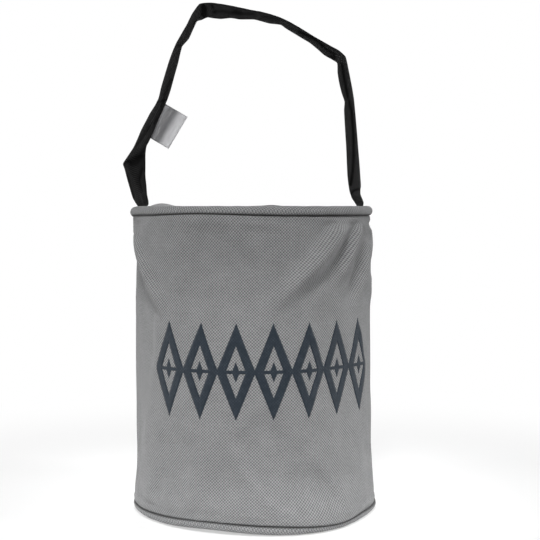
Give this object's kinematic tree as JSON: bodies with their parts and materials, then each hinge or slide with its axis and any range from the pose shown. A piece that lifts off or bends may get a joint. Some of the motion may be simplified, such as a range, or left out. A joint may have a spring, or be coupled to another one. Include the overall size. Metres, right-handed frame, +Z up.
{
  "type": "weighted fabric door stop",
  "caption": "Sand-weighted cloth cylinder with piped seams, a cloth carrying loop, a blank care label and a printed lozenge band.",
  "frame": {"origin": "centre of the underside of the base panel, on the floor", "axes": "+Z up, towards the carrying loop; the printed front faces -Y; +X is to the right as seen from the front"},
  "size_m": [0.1457, 0.1405, 0.2938],
  "materials": {
    "grey_cloth": "woven, matt",
    "sand": "sand in a sealed cloth bag",
    "fibre": "loose stuffing",
    "black_cloth": "fine twill, matt",
    "satin_ribbon": "satin sheen",
    "navy_ink": "ink printed on cloth"
  },
  "bodies": {
    "root": {"side_panel": "grey_cloth", "top_panel": "grey_cloth", "base_panel": "grey_cloth", "top_piping": "grey_cloth", "base_piping": "grey_cloth", "sand_bag": "sand", "fibre_filling": "fibre", "handle": "black_cloth", "care_label": "satin_ribbon", "print": "navy_ink"}
  },
  "joints": []
}
